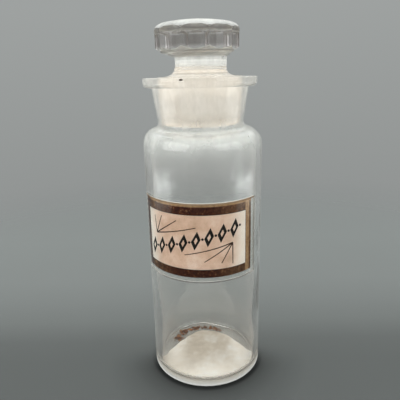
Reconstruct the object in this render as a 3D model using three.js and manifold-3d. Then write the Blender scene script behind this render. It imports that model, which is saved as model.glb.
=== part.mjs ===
// A round pharmacy bottle of clear glass with a ground stopper and a label under glass.
// Millimetres, +Z up. The origin is the centre of the foot, on the surface the bottle stands on.
// The label faces -Y, and the stopper lifts out along +Z.

import * as THREE from "three";
import { mergeVertices } from "three/addons/utils/BufferGeometryUtils.js";
import Module from "manifold-3d";

// Overall sizes of the bottle: the straight body, and all that stands above it up to the lip.
const BODY_RADIUS = 30;
const BODY_HEIGHT = 124.5;
const SHOULDER_AND_NECK_HEIGHT = 32.5;
const LIP_TOP_Z = BODY_HEIGHT + SHOULDER_AND_NECK_HEIGHT;

// Walls.
const BODY_WALL = 3.1;
const FLOOR_THICKNESS = 2.6;

// Foot: the bottle stands on a flat ring round a shallow hollow.
const FOOT_RING_INNER_RADIUS = 20;
const HEEL_RADIUS = 1.2;
const FOOT_HOLLOW_DEPTH = 1.6;
const FLOOR_CORNER_RADIUS = 3.2;
const FLOOR_CROWN = 1.4;

// Shoulder and neck. The neck's outside is set by the bore and the wall round it. The neck was
// drawn a little off the body's axis, towards -X.
const SHOULDER_RADIUS = 8.7;
const NECK_TOP_WALL = 3.15;
const NECK_SLOPE = 0.155;
const NECK_FILLET = 3;
const BORE_FILLET = 2.5;
const NECK_OFFSET = 0.7;

// Lip: a flat-topped ring with a rounded underside.
const LIP_OVERHANG = 4.1;
const LIP_THICKNESS = 4.6;
const LIP_UNDER_RADIUS = 2.2;
const LIP_EDGE_RADIUS = 0.7;

// Ground joint: the plug's taper and the room that the bore leaves round it.
const PLUG_RADIUS_AT_LIP = 20.6;
const PLUG_LENGTH = 22.8;
const PLUG_SLOPE = 0.05;
const JOINT_CLEARANCE = 0.3;
const MOUTH_EDGE_RADIUS = 0.6;
const PLUG_EDGE = 0.5;
const PLUG_DISH_DEPTH = 1.2;

// Stopper above the plug: a concave flare, a short shank and a fluted mushroom head.
const PLUG_STAND_ABOVE_LIP = 0.2;
const FLARE_HEIGHT = 5.8;
const SHANK_RADIUS = 11.9;
const SHANK_LENGTH = 3.1;
const HEAD_RADIUS = 20.4;
const HEAD_UNDERSIDE_RISE = 2.3;
const HEAD_CHAMFER_WIDTH = 3.1;
const HEAD_CHAMFER_RISE = 2.2;
const HEAD_RIM_HEIGHT = 7;
const HEAD_SHOULDER_WIDTH = 4.4;
const HEAD_SHOULDER_RISE = 3.6;
const HEAD_CROWN_RISE = 1.7;
const HEAD_OFFSET = 1;

// Flutes: vertical hollows round the head's rim.
const FLUTE_COUNT = 10;
const FLUTE_DEPTH = 2.1;
const FLUTE_RADIUS = 22;
const HEAD_TURN_DEG = 9.7;

// Label: layers in a shallow recess of the wall, listed from the outside in. The layers behind
// the cover glass sit a little above its middle.
const LABEL_CENTRE_Z = 81.1;
const SHEETS_RISE = 0.35;
const COVER_HEIGHT = 39.6;
const COVER_WIDTH = 70.4;
const COVER_THICKNESS = 1;
const BORDER_HEIGHT = 36;
const BORDER_WIDTH = 65.2;
const BORDER_BAND = 3.95;
const SHEET_THICKNESS = 0.2;
const CEMENT_THICKNESS = 0.3;
const LAYER_GAP = 0.1;
const EDGE_GAP = 0.3;

// How finely curves are cut into flat facets.
const ROUND_STEPS = 64;
const CORNER_STEPS = 4;
const FLUTE_STEPS = 40;

const wasm = await Module();
wasm.setup();

// A closed geometry as a solid that can be cut and joined.
function solidOf(geometry) {
  const bare = geometry.clone();
  bare.deleteAttribute("normal");
  bare.deleteAttribute("uv");
  const merged = mergeVertices(bare, 1e-4);
  return new wasm.Manifold(
    new wasm.Mesh({
      numProp: 3,
      vertProperties: merged.attributes.position.array,
      triVerts: new Uint32Array(merged.index.array),
    }),
  );
}

// A solid back as a geometry with normals.
function geometryOf(solid) {
  const mesh = solid.getMesh();
  const geometry = new THREE.BufferGeometry();
  geometry.setAttribute("position", new THREE.BufferAttribute(mesh.vertProperties, 3));
  geometry.setIndex(new THREE.BufferAttribute(mesh.triVerts, 1));
  geometry.computeVertexNormals();
  return geometry;
}

// Points on an arc of the profile plane, where x is the radius and y the height.
function arc(centre, radius, startDeg, endDeg, steps = CORNER_STEPS, height = radius) {
  const points = [];
  for (let i = 0; i <= steps; i += 1) {
    const angle = THREE.MathUtils.degToRad(startDeg + ((endDeg - startDeg) * i) / steps);
    points.push(
      new THREE.Vector2(
        centre.x + radius * Math.cos(angle),
        centre.y + height * Math.sin(angle),
      ),
    );
  }
  return points;
}

// A dome or hollow of the profile plane, from the axis to the given radius.
function crown(radius, edgeZ, rise, steps = CORNER_STEPS) {
  const points = [];
  for (let i = 0; i <= steps; i += 1) {
    const share = i / steps;
    points.push(new THREE.Vector2(radius * share, edgeZ + rise * (1 - share * share)));
  }
  return points;
}

// A profile turned about Z into a closed solid of revolution.
function turned(profile) {
  return new THREE.LatheGeometry(profile, ROUND_STEPS).rotateX(Math.PI / 2);
}

// The hollow corner between a round shoulder and a slanted line above it. The line passes
// through top, with the given slope of radius over height. Where the line stands further in
// than the shoulder's own round reaches, a flat stretch joins the two.
function shoulderFillet(shoulder, shoulderRadius, fillet, top, slope) {
  const lean = Math.atan(slope);
  const offset = fillet / Math.cos(lean);
  const reach = shoulderRadius + fillet;
  const base = top.x + offset - shoulder.x - slope * (top.y - shoulder.y);
  const a = 1 + slope * slope;
  const b = base * slope;
  const c = base * base - reach * reach;
  const flatTop = base + slope * reach < 0;
  const rise = flatTop ? reach : (-b + Math.sqrt(b * b - a * c)) / a;
  const centre = new THREE.Vector2(shoulder.x + base + slope * rise, shoulder.y + rise);
  const towardsCentre = Math.atan2(centre.y - shoulder.y, centre.x - shoulder.x);
  const shoulderDeg = flatTop ? 90 : THREE.MathUtils.radToDeg(towardsCentre);
  return {
    shoulderDeg,
    points: arc(centre, fillet, shoulderDeg + 180, 180 - THREE.MathUtils.radToDeg(lean)),
  };
}

// The plug's radius at a height, and the bore's, which follows it.
function plugRadius(z) {
  return PLUG_RADIUS_AT_LIP - PLUG_SLOPE * (LIP_TOP_Z - z);
}

function boreRadius(z) {
  return plugRadius(z) + JOINT_CLEARANCE;
}

const SHOULDER_CENTRE = new THREE.Vector2(BODY_RADIUS - SHOULDER_RADIUS, BODY_HEIGHT);
const NECK_TOP_Z = LIP_TOP_Z - LIP_THICKNESS;
const NECK_TOP_RADIUS = boreRadius(NECK_TOP_Z) + NECK_TOP_WALL;
const LIP_RADIUS = NECK_TOP_RADIUS + LIP_OVERHANG;

// The outside of the bottle, from the middle of the foot up to the lip's top face.
function outerProfile() {
  const neckTop = new THREE.Vector2(NECK_TOP_RADIUS, NECK_TOP_Z);
  const fillet = shoulderFillet(
    SHOULDER_CENTRE,
    SHOULDER_RADIUS,
    NECK_FILLET,
    neckTop,
    NECK_SLOPE,
  );
  const heel = new THREE.Vector2(BODY_RADIUS - HEEL_RADIUS, HEEL_RADIUS);
  const under = new THREE.Vector2(LIP_RADIUS - LIP_UNDER_RADIUS, neckTop.y + LIP_UNDER_RADIUS);
  const edge = new THREE.Vector2(LIP_RADIUS - LIP_EDGE_RADIUS, LIP_TOP_Z - LIP_EDGE_RADIUS);
  return [
    ...crown(FOOT_RING_INNER_RADIUS, 0, FOOT_HOLLOW_DEPTH),
    ...arc(heel, HEEL_RADIUS, -90, 0),
    ...arc(SHOULDER_CENTRE, SHOULDER_RADIUS, 0, fillet.shoulderDeg, 2 * CORNER_STEPS),
    ...fillet.points,
    neckTop,
    ...arc(under, LIP_UNDER_RADIUS, -90, 0),
    ...arc(edge, LIP_EDGE_RADIUS, 0, 90, 3),
  ];
}

// The inside of the bottle, from the mouth down to the middle of the floor.
function innerProfile() {
  const bore = new THREE.Vector2(boreRadius(LIP_TOP_Z), LIP_TOP_Z);
  const fillet = shoulderFillet(
    SHOULDER_CENTRE,
    SHOULDER_RADIUS - BODY_WALL,
    BORE_FILLET,
    bore,
    PLUG_SLOPE,
  );
  const mouth = new THREE.Vector2(bore.x + MOUTH_EDGE_RADIUS, LIP_TOP_Z - MOUTH_EDGE_RADIUS);
  const inside = BODY_RADIUS - BODY_WALL;
  const corner = new THREE.Vector2(
    inside - FLOOR_CORNER_RADIUS,
    FLOOR_THICKNESS + FLOOR_CORNER_RADIUS,
  );
  const floor = crown(corner.x, FLOOR_THICKNESS, FLOOR_CROWN);
  return [
    ...arc(mouth, MOUTH_EDGE_RADIUS, 90, 180, 3),
    ...fillet.points.reverse(),
    ...arc(SHOULDER_CENTRE, SHOULDER_RADIUS - BODY_WALL, fillet.shoulderDeg, 0),
    ...arc(corner, FLOOR_CORNER_RADIUS, 0, -90),
    ...floor.reverse().slice(1),
  ];
}

// The angles at which a label layer is cut: the turned facets' own, and its two ends.
function layerAngles(halfAngle) {
  const step = (2 * Math.PI) / ROUND_STEPS;
  const inside = Math.ceil(halfAngle / step) - 1;
  const angles = [-halfAngle];
  for (let i = -inside; i <= inside; i += 1) angles.push(i * step);
  angles.push(halfAngle);
  return angles;
}

// A slab bent round the bottle's axis, centred on -Y.
function bentSlab({ halfAngle, lowZ, highZ, innerRadius, outerRadius }) {
  const angles = layerAngles(halfAngle);
  const steps = angles.length - 1;
  const slab = new THREE.BoxGeometry(1, 1, 1, steps, 1, 1);
  const position = slab.attributes.position;
  for (let i = 0; i < position.count; i += 1) {
    const angle = angles[Math.round((position.getX(i) + 0.5) * steps)];
    const radius = position.getY(i) < 0 ? outerRadius : innerRadius;
    const z = position.getZ(i) < 0 ? lowZ : highZ;
    position.setXYZ(i, radius * Math.sin(angle), -radius * Math.cos(angle), z);
  }
  return slab;
}

// The radii of the label's layers, each behind the one outside it.
const COVER_INNER = BODY_RADIUS - COVER_THICKNESS;
const SHEET_OUTER = COVER_INNER - LAYER_GAP;
const SHEET_INNER = SHEET_OUTER - SHEET_THICKNESS;
const CEMENT_OUTER = SHEET_INNER - LAYER_GAP;
const CEMENT_INNER = CEMENT_OUTER - CEMENT_THICKNESS;
const RECESS_RADIUS = CEMENT_INNER - LAYER_GAP;

// The place of a label layer: its widths are measured round the outside of the bottle.
function layerPlace(width, height, innerRadius, outerRadius, rise = 0) {
  const centreZ = LABEL_CENTRE_Z + rise;
  return {
    halfAngle: width / 2 / BODY_RADIUS,
    lowZ: centreZ - height / 2,
    highZ: centreZ + height / 2,
    innerRadius,
    outerRadius,
  };
}

// How far the bottle's rings are drawn towards -X at a height: not at all on the body, and
// all the way from the plug's lower end up, so that the bore stays straight.
function drawnAside(z) {
  const top = LIP_TOP_Z - PLUG_LENGTH - PLUG_EDGE;
  return NECK_OFFSET * THREE.MathUtils.smoothstep(z, top - SHOULDER_RADIUS, top);
}

function vesselGeometry() {
  const vessel = turned([...outerProfile(), ...innerProfile()]);
  const position = vessel.attributes.position;
  for (let i = 0; i < position.count; i += 1) {
    position.setX(i, position.getX(i) - drawnAside(position.getZ(i)));
  }
  return vessel;
}

function bottleGeometry() {
  const vessel = solidOf(vesselGeometry());
  const recess = bentSlab(
    layerPlace(
      COVER_WIDTH + 2 * EDGE_GAP,
      COVER_HEIGHT + 2 * EDGE_GAP,
      RECESS_RADIUS,
      BODY_RADIUS + BODY_WALL,
    ),
  );
  return geometryOf(vessel.subtract(solidOf(recess)));
}

function coverGeometry() {
  return bentSlab(layerPlace(COVER_WIDTH, COVER_HEIGHT, COVER_INNER, BODY_RADIUS));
}

function borderGeometry() {
  const outer = bentSlab(
    layerPlace(BORDER_WIDTH, BORDER_HEIGHT, SHEET_INNER, SHEET_OUTER, SHEETS_RISE),
  );
  const window = bentSlab(
    layerPlace(
      BORDER_WIDTH - 2 * BORDER_BAND,
      BORDER_HEIGHT - 2 * BORDER_BAND,
      SHEET_INNER - SHEET_THICKNESS,
      SHEET_OUTER + SHEET_THICKNESS,
      SHEETS_RISE,
    ),
  );
  return geometryOf(solidOf(outer).subtract(solidOf(window)));
}

function panelGeometry() {
  const inset = BORDER_BAND + EDGE_GAP;
  return bentSlab(
    layerPlace(
      BORDER_WIDTH - 2 * inset,
      BORDER_HEIGHT - 2 * inset,
      SHEET_INNER,
      SHEET_OUTER,
      SHEETS_RISE,
    ),
  );
}

function cementGeometry() {
  return bentSlab(
    layerPlace(BORDER_WIDTH, BORDER_HEIGHT, CEMENT_INNER, CEMENT_OUTER, SHEETS_RISE),
  );
}

// Heights of the stopper, each from the one below it.
const PLUG_BOTTOM_Z = LIP_TOP_Z - PLUG_LENGTH;
const PLUG_TOP_Z = LIP_TOP_Z + PLUG_STAND_ABOVE_LIP;
const SHANK_BOTTOM_Z = PLUG_TOP_Z + FLARE_HEIGHT;
const SHANK_TOP_Z = SHANK_BOTTOM_Z + SHANK_LENGTH;
const CHAMFER_Z = SHANK_TOP_Z + HEAD_UNDERSIDE_RISE;
const RIM_BOTTOM_Z = CHAMFER_Z + HEAD_CHAMFER_RISE;
const RIM_TOP_Z = RIM_BOTTOM_Z + HEAD_RIM_HEIGHT;
const CROWN_EDGE_Z = RIM_TOP_Z + HEAD_SHOULDER_RISE;

// The ground plug with the flare and the shank above it, up into the head.
function plugAndShank() {
  const bottom = plugRadius(PLUG_BOTTOM_Z);
  const top = plugRadius(LIP_TOP_Z);
  const flare = new THREE.Vector2(top, SHANK_BOTTOM_Z);
  return solidOf(
    turned([
      ...crown(bottom - PLUG_EDGE, PLUG_BOTTOM_Z, PLUG_DISH_DEPTH, 3),
      new THREE.Vector2(bottom, PLUG_BOTTOM_Z + PLUG_EDGE),
      new THREE.Vector2(top, LIP_TOP_Z),
      ...arc(flare, top - SHANK_RADIUS, 270, 180, CORNER_STEPS, FLARE_HEIGHT),
      new THREE.Vector2(SHANK_RADIUS, RIM_BOTTOM_Z),
      new THREE.Vector2(0, RIM_BOTTOM_Z),
    ]),
  );
}

// The head as turned, before its rim is fluted, centred on its own axis.
function plainHead() {
  const shoulder = new THREE.Vector2(HEAD_RADIUS - HEAD_SHOULDER_WIDTH, RIM_TOP_Z);
  return solidOf(
    turned([
      new THREE.Vector2(0, SHANK_TOP_Z),
      new THREE.Vector2(SHANK_RADIUS - HEAD_OFFSET, SHANK_TOP_Z),
      new THREE.Vector2(HEAD_RADIUS - HEAD_CHAMFER_WIDTH, CHAMFER_Z),
      new THREE.Vector2(HEAD_RADIUS, RIM_BOTTOM_Z),
      ...arc(shoulder, HEAD_SHOULDER_WIDTH, 0, 75, CORNER_STEPS, HEAD_SHOULDER_RISE),
      ...crown(shoulder.x, CROWN_EDGE_Z, HEAD_CROWN_RISE, 4).reverse(),
    ]),
  );
}

// One upright cutter beside the head, whose side leaves a flute in the rim.
function fluteCutter(index) {
  const height = HEAD_CROWN_RISE + CROWN_EDGE_Z - SHANK_TOP_Z + 2 * EDGE_GAP;
  const distance = HEAD_RADIUS - FLUTE_DEPTH + FLUTE_RADIUS;
  const turn = THREE.MathUtils.degToRad(HEAD_TURN_DEG) + (2 * Math.PI * index) / FLUTE_COUNT;
  const cutter = new THREE.CylinderGeometry(FLUTE_RADIUS, FLUTE_RADIUS, height, FLUTE_STEPS);
  cutter.rotateX(Math.PI / 2);
  cutter.rotateZ(Math.PI / FLUTE_STEPS);
  cutter.translate(0, -distance, SHANK_TOP_Z - EDGE_GAP + height / 2);
  cutter.rotateZ(turn);
  return solidOf(cutter);
}

function stopperGeometry() {
  let head = plainHead();
  for (let i = 0; i < FLUTE_COUNT; i += 1) head = head.subtract(fluteCutter(i));
  const whole = plugAndShank().add(head.translate([-HEAD_OFFSET, 0, 0]));
  return geometryOf(whole.translate([-NECK_OFFSET, 0, 0]));
}

// A named mesh of one piece.
function piece(name, geometry, look) {
  const mesh = new THREE.Mesh(geometry, new THREE.MeshStandardMaterial(look));
  mesh.name = name;
  return mesh;
}

const CLEAR_GLASS = {
  color: 0xe9efe9,
  roughness: 0.04,
  metalness: 0,
  transparent: true,
  opacity: 0.35,
};

const bottle = new THREE.Group();
bottle.add(piece("bottle", bottleGeometry(), CLEAR_GLASS));

const label = new THREE.Group();
label.add(piece("label_cover_glass", coverGeometry(), CLEAR_GLASS));
label.add(
  piece("label_gilt_border", borderGeometry(), {
    color: 0x8a5a2b,
    roughness: 0.4,
    metalness: 0.7,
  }),
);
label.add(
  piece("label_panel", panelGeometry(), {
    color: 0xe3d0bd,
    roughness: 0.7,
    metalness: 0,
  }),
);
label.add(
  piece("label_cement", cementGeometry(), {
    color: 0x3a2a20,
    roughness: 0.8,
    metalness: 0,
  }),
);
bottle.add(label);

const apothecaryBottle = new THREE.Group();
apothecaryBottle.add(bottle);
apothecaryBottle.add(
  piece("stopper", stopperGeometry(), {
    color: 0xe6e4da,
    roughness: 0.3,
    metalness: 0,
    transparent: true,
    opacity: 0.6,
  }),
);

export default apothecaryBottle;
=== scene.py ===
# A round pharmacy bottle of clear old glass, with a ground stopper and a label under glass.
# Sizes are written in millimetres and turned into metres by MM. +Z is up, the label faces -Y.

import random
from math import asin, atan, atan2, ceil, cos, degrees, dist, hypot, pi, radians, sin, sqrt, tan

import bmesh
import bpy
from mathutils import Matrix, Vector
from mathutils.noise import noise


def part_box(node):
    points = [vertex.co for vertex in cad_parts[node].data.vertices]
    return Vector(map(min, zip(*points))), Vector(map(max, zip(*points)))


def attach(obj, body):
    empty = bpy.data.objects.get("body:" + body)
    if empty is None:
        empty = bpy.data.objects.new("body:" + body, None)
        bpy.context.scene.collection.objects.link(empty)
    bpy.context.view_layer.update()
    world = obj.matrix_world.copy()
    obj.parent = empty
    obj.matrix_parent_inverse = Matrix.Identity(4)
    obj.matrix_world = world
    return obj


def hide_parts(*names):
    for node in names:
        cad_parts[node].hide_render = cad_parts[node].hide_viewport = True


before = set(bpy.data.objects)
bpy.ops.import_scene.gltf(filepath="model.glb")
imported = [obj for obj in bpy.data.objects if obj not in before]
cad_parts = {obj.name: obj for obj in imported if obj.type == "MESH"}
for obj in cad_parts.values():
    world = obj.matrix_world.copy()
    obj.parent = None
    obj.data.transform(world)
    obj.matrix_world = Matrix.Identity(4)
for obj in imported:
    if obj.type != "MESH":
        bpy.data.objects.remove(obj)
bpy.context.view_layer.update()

MM = 0.001
TINY = 1e-6


def box_mm(node):
    """The lowest and highest corner of a CAD node, in millimetres."""
    low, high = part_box(node)
    return low / MM, high / MM


# The bottle's outline. The overall sizes come from the frame.
BOTTLE_HIGH = box_mm("bottle")[1]
BODY_RADIUS = BOTTLE_HIGH.x
LIP_TOP_Z = BOTTLE_HIGH.z
NECK_HEIGHT = 32.5
BODY_HEIGHT = LIP_TOP_Z - NECK_HEIGHT
BODY_WALL = 3.1
FLOOR_THICKNESS = 2.6
FOOT_RING_INNER = 20
HEEL_RADIUS = 1.2
FOOT_HOLLOW_DEPTH = 1.6
CORNER_RADIUS = 3.2
FLOOR_CROWN = 1.4
SHOULDER_RADIUS = 8.7
NECK_TOP_WALL = 3.15
NECK_SLOPE = 0.155
NECK_FILLET = 3
BORE_FILLET = 2.5
NECK_OFFSET = 0.7
LIP_OVERHANG = 4.1
LIP_THICKNESS = 4.6
LIP_UNDER = 2.2
LIP_EDGE = 0.7
MOUTH_EDGE = 0.6

# The ground joint.
PLUG_RADIUS_AT_LIP = 20.6
PLUG_LENGTH = 22.8
PLUG_SLOPE = 0.05
JOINT_CLEARANCE = 0.3
PLUG_EDGE = 0.5
PLUG_DISH_DEPTH = 1.2

# The stopper above the plug.
STOPPER_TOP_Z = box_mm("stopper")[1].z
PLUG_STAND = 0.2
FLARE_HEIGHT = 5.8
FLARE_BEND = 2.9
SHANK_RADIUS = 12.6
SHANK_LENGTH = 3.1
HEAD_RADIUS = 20.4
UNDERSIDE_RISE = 2.3
CHAMFER_WIDTH = 3.1
CHAMFER_RISE = 2.2
HEAD_RIM_HEIGHT = 7
BROW_WIDTH = 4.4
BROW_RISE = 3.6
BROW_DEG = 75
HEAD_CROWN_RISE = 1.7
HEAD_OFFSET = 1
FLUTE_COUNT = 10
FLUTE_DEPTH = 2.1
FLUTE_RADIUS = 22
FLUTE_RUN_OUT = 0.35
FLUTE_STRAIGHT_END = 0.8
HEAD_TURN = radians(9.7)
ARRIS_ROUNDING = 0.22

# The stopper's heights, from the bottom up.
PLUG_BOTTOM_Z = LIP_TOP_Z - PLUG_LENGTH
PLUG_TOP_Z = LIP_TOP_Z + PLUG_STAND
SHANK_LOW_Z = PLUG_TOP_Z + FLARE_HEIGHT
SHANK_TOP_Z = SHANK_LOW_Z + SHANK_LENGTH
CHAMFER_Z = SHANK_TOP_Z + UNDERSIDE_RISE
RIM_BOTTOM_Z = CHAMFER_Z + CHAMFER_RISE
RIM_TOP_Z = RIM_BOTTOM_Z + HEAD_RIM_HEIGHT
CROWN_EDGE_Z = RIM_TOP_Z + BROW_RISE

# The fine rings that the tool left, and where the plug's ground side and the dome begin.
GROOVE_DEPTH = 0.16
GROOVE_SPACING = 1.5
GROOVE_START = 0.3
GROOVE_FADE = 1.5
HEAD_GROOVE_FADE = 0.8
GROUND_START = 0.1
GROUND_PAST_LIP = 0.05
DOME_START = 0.3
DOME_SLOPE = 0.35

# The label's layers, from the frame.
COVER_LOW, COVER_HIGH = box_mm("label_cover_glass")
BORDER_LOW, BORDER_HIGH = box_mm("label_gilt_border")
PANEL_LOW, PANEL_HIGH = box_mm("label_panel")
LABEL_CENTRE_Z = (COVER_LOW.z + COVER_HIGH.z) / 2
COVER_THICKNESS = 1
SHEET_THICKNESS = 0.2
CEMENT_THICKNESS = 0.3
LAYER_GAP = 0.1
EDGE_GAP = 0.3
BORDER_BAND = 3.95
GOLD_LINE = 0.9
COVER_BEVEL = 0.45
COVER_BACK_GAP = 0.05
SHEET_OUTER = BODY_RADIUS - COVER_THICKNESS - LAYER_GAP
SHEET_INNER = SHEET_OUTER - SHEET_THICKNESS
CEMENT_INNER = SHEET_INNER - LAYER_GAP - CEMENT_THICKNESS
RECESS_RADIUS = CEMENT_INNER - LAYER_GAP
COVER_BACK = RECESS_RADIUS + COVER_BACK_GAP

# The recess for the label, with the room that the cover glass has in it.
RECESS_LOW_Z = COVER_LOW.z - EDGE_GAP
RECESS_HIGH_Z = COVER_HIGH.z + EDGE_GAP

# The painted marks. Places are (across, up) from the label's middle.
INK_INNER = SHEET_OUTER - 0.06
INK_OUTER = SHEET_OUTER + 0.03
RAY_FANS = (
    ((-21.6, 2.4), ((-22.9, 11.3), (-17.3, 12.1), (-8.2, 11), (1.7, 8.1))),
    ((20.3, -0.6), ((20.4, -11.7), (14.3, -10.5), (5.6, -9.4), (-4.3, -6))),
)
RAY_WIDTH = 0.62
RAY_END_WIDTH = 0.42
CHAIN_SLOPE = radians(14.5)
CHAIN_SLANT = radians(9)
CHAIN_RISE = 1.1
CHAIN_START = -26.2
CHAIN_END = 26.2
CHAIN_COUNT = 8
LOZENGE_WIDTH = 5
LOZENGE_HEIGHT = 9.8
LOZENGE_OPEN = 0.38
DOT_RADIUS = 0.65

# The film of powder: the bend of its back edge, its unevenness and its two sides.
POWDER_EDGE = 16.8
POWDER_EDGE_MIDDLE = 1.2
POWDER_BEND = 0.036
POWDER_REACH = 26.75
POWDER_WANDER = 0.5
POWDER_GRAIN = 0.05
GRAIN_SCALE = 1.5
POWDER_TOP = 0.18
POWDER_UNDER = 0.03
POWDER_RIM = 0.05

# The crumbs, along a line of (right, deep) places as the camera sees them.
CRUMB_LINE = (
    (-18.6, 9.4), (-17.6, 11), (-13.9, 16.8), (-10.8, 18), (-4.3, 19.8), (2.2, 19.6), (9, 17.9)
)
CRUMB_COUNT = 150
CRUMB_SEED = 7
CRUMB_CROWDING = 1.2
CRUMB_SCATTER = (0.9, 1.1)
CRUMB_SIZES = (0.25, 0.7)
CRUMB_LIFT = 0.7
CRUMB_REACH = 25
CRUMB_SIDES = ((0.8, 1.5), (0.7, 1.1), (0.5, 0.8))
CRUMB_DENTS = 0.5
CRUMB_DENT_SCALE = 1.7
SPECK_RADIUS = 0.8
SPECK_ANGLE = radians(-6.85)
SPECK_PLACE = (27.45, 155.9)
SPECK_SEED = 3

# How finely things are cut: steps to a turn, degrees to a step, rows and cuts in millimetres.
ROUND_STEPS = 240
HEAD_STEPS = 400
POWDER_STEPS = 200
FLOOR_STEPS = 96
DOT_SIDES = 14
LOZENGE_CUTS = 5
CROWN_STEPS = 10
POWDER_RINGS = 40
ARC_STEP = 4
HEEL_STEP = 8
LIP_UNDER_STEP = 9
EDGE_STEP = 15
SHEET_STEP = radians(1.4)
ROW_SPACING = 2.5
PLUG_SPACING = 1.2
FLARE_SPACING = 0.35
HEAD_SPACING = 0.3
BAND_SPACING = 1.4
RAY_SPACING = 1.2
LINE_SPACING = 0.6
SHARP_DEG = 35
STOPPER_SHARP_DEG = 50
CRUMB_SHARP_DEG = 60

# The unevenness of blown glass: depth, waves round the bottle, and height to a wave.
OUTER_RIPPLE = (0.07, 1.2, 30)
INNER_RIPPLE = (0.3, 1.7, 22)
# Where it holds: from one height to another, and over what height it fades.
OUTER_RIPPLE_HOLD = (HEEL_RADIUS, BODY_HEIGHT + 6, 8)
INNER_RIPPLE_HOLD = (FLOOR_THICKNESS + 6, PLUG_BOTTOM_Z, 12)
FINE_RIPPLE = 0.16
FINE_AROUND = 4
FINE_ALONG = 1.3
FINE_SHIFT = 7

# The photograph's camera, in millimetres and degrees.
CAMERA_DISTANCE = 209.4
CAMERA_HEIGHT = 156.54
CAMERA_PITCH = radians(-16.56)
CAMERA_ROLL = radians(-1.41)
CAMERA_YAW = radians(-0.56)
CAMERA_TURN = radians(11.5)
CAMERA_LENS = 36.918
SENSOR_WIDTH = 36
NEAREST_SEEN = 0.01
FURTHEST_SEEN = 20


# Profiles, as lists of (radius, height) points.


def arc(centre, radius, start_deg, end_deg, height=None, step=ARC_STEP):
    """Points on a round or oval arc of the profile."""
    height = radius if height is None else height
    count = max(2, ceil(abs(end_deg - start_deg) / step))
    points = []
    for i in range(count + 1):
        angle = radians(start_deg + (end_deg - start_deg) * i / count)
        points.append((centre[0] + radius * cos(angle), centre[1] + height * sin(angle)))
    return points


def crown(radius, edge_z, rise):
    """A dome or hollow from the axis out to the radius."""
    shares = [i / CROWN_STEPS for i in range(CROWN_STEPS + 1)]
    return [(radius * s, edge_z + rise * (1 - s * s)) for s in shares]


def filled(points, spacing=ROW_SPACING):
    """The same outline with long straight stretches cut into rows."""
    made = [points[0]]
    for (r0, z0), (r1, z1) in zip(points, points[1:]):
        length = hypot(r1 - r0, z1 - z0)
        if length < TINY:
            continue
        parts = max(1, ceil(length / spacing))
        made += [(r0 + (r1 - r0) * k / parts, z0 + (z1 - z0) * k / parts) for k in range(1, parts + 1)]
    return made


def neck_fillet(radius, fillet, top, slope):
    """The hollow corner between the round shoulder and the slanted neck line through top."""
    lean = atan(slope)
    reach = radius + fillet
    base = top[0] + fillet / cos(lean) - SHOULDER_CENTRE[0] - slope * (top[1] - SHOULDER_CENTRE[1])
    a, b, c = 1 + slope * slope, base * slope, base * base - reach * reach
    rise = (-b + sqrt(b * b - a * c)) / a
    out = base + slope * rise
    centre = (SHOULDER_CENTRE[0] + out, SHOULDER_CENTRE[1] + rise)
    meet_deg = degrees(atan2(rise, out))
    return meet_deg, arc(centre, fillet, meet_deg + 180, 180 - degrees(lean))


def plug_radius(z):
    return PLUG_RADIUS_AT_LIP - PLUG_SLOPE * (LIP_TOP_Z - z)


def bore_radius(z):
    return plug_radius(z) + JOINT_CLEARANCE


def half_angle(high, outer):
    """How far round a label layer reaches from -Y, by its CAD corner."""
    return asin(high.x / outer)


SHOULDER_CENTRE = (BODY_RADIUS - SHOULDER_RADIUS, BODY_HEIGHT)
NECK_TOP_Z = LIP_TOP_Z - LIP_THICKNESS
NECK_TOP_RADIUS = bore_radius(NECK_TOP_Z) + NECK_TOP_WALL
LIP_RADIUS = NECK_TOP_RADIUS + LIP_OVERHANG
FLAT_RADIUS = BODY_RADIUS - BODY_WALL - CORNER_RADIUS


def outer_profile():
    """The outside, from the middle of the foot's hollow to the top of the lip."""
    neck_top = (NECK_TOP_RADIUS, NECK_TOP_Z)
    meet_deg, fillet = neck_fillet(SHOULDER_RADIUS, NECK_FILLET, neck_top, NECK_SLOPE)
    heel = (BODY_RADIUS - HEEL_RADIUS, HEEL_RADIUS)
    under = (LIP_RADIUS - LIP_UNDER, NECK_TOP_Z + LIP_UNDER)
    edge = (LIP_RADIUS - LIP_EDGE, LIP_TOP_Z - LIP_EDGE)
    return [
        *crown(FOOT_RING_INNER, 0, FOOT_HOLLOW_DEPTH),
        *arc(heel, HEEL_RADIUS, -90, 0, step=HEEL_STEP),
        (BODY_RADIUS, RECESS_LOW_Z),
        (BODY_RADIUS, RECESS_HIGH_Z),
        *arc(SHOULDER_CENTRE, SHOULDER_RADIUS, 0, meet_deg),
        *fillet,
        neck_top,
        *arc(under, LIP_UNDER, -90, 0, step=LIP_UNDER_STEP),
        *arc(edge, LIP_EDGE, 0, 90, step=EDGE_STEP),
    ]


def inner_profile():
    """The inside, from the edge of the mouth down to the middle of the floor."""
    bore = (bore_radius(LIP_TOP_Z), LIP_TOP_Z)
    inside_radius = SHOULDER_RADIUS - BODY_WALL
    meet_deg, fillet = neck_fillet(inside_radius, BORE_FILLET, bore, PLUG_SLOPE)
    mouth = (bore[0] + MOUTH_EDGE, LIP_TOP_Z - MOUTH_EDGE)
    corner = (FLAT_RADIUS, FLOOR_THICKNESS + CORNER_RADIUS)
    return [
        *arc(mouth, MOUTH_EDGE, 90, 180, step=EDGE_STEP),
        *fillet[::-1],
        *arc(SHOULDER_CENTRE, inside_radius, meet_deg, 0),
        *arc(corner, CORNER_RADIUS, 0, -90),
        *crown(FLAT_RADIUS, FLOOR_THICKNESS, FLOOR_CROWN)[::-1][1:],
    ]


# Meshes.


def at(radius, angle, z):
    """A point in metres. The angle is measured from -Y towards +X."""
    return (radius * sin(angle) * MM, -radius * cos(angle) * MM, z * MM)


def clamped(value):
    return min(1, max(0, value))


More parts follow.
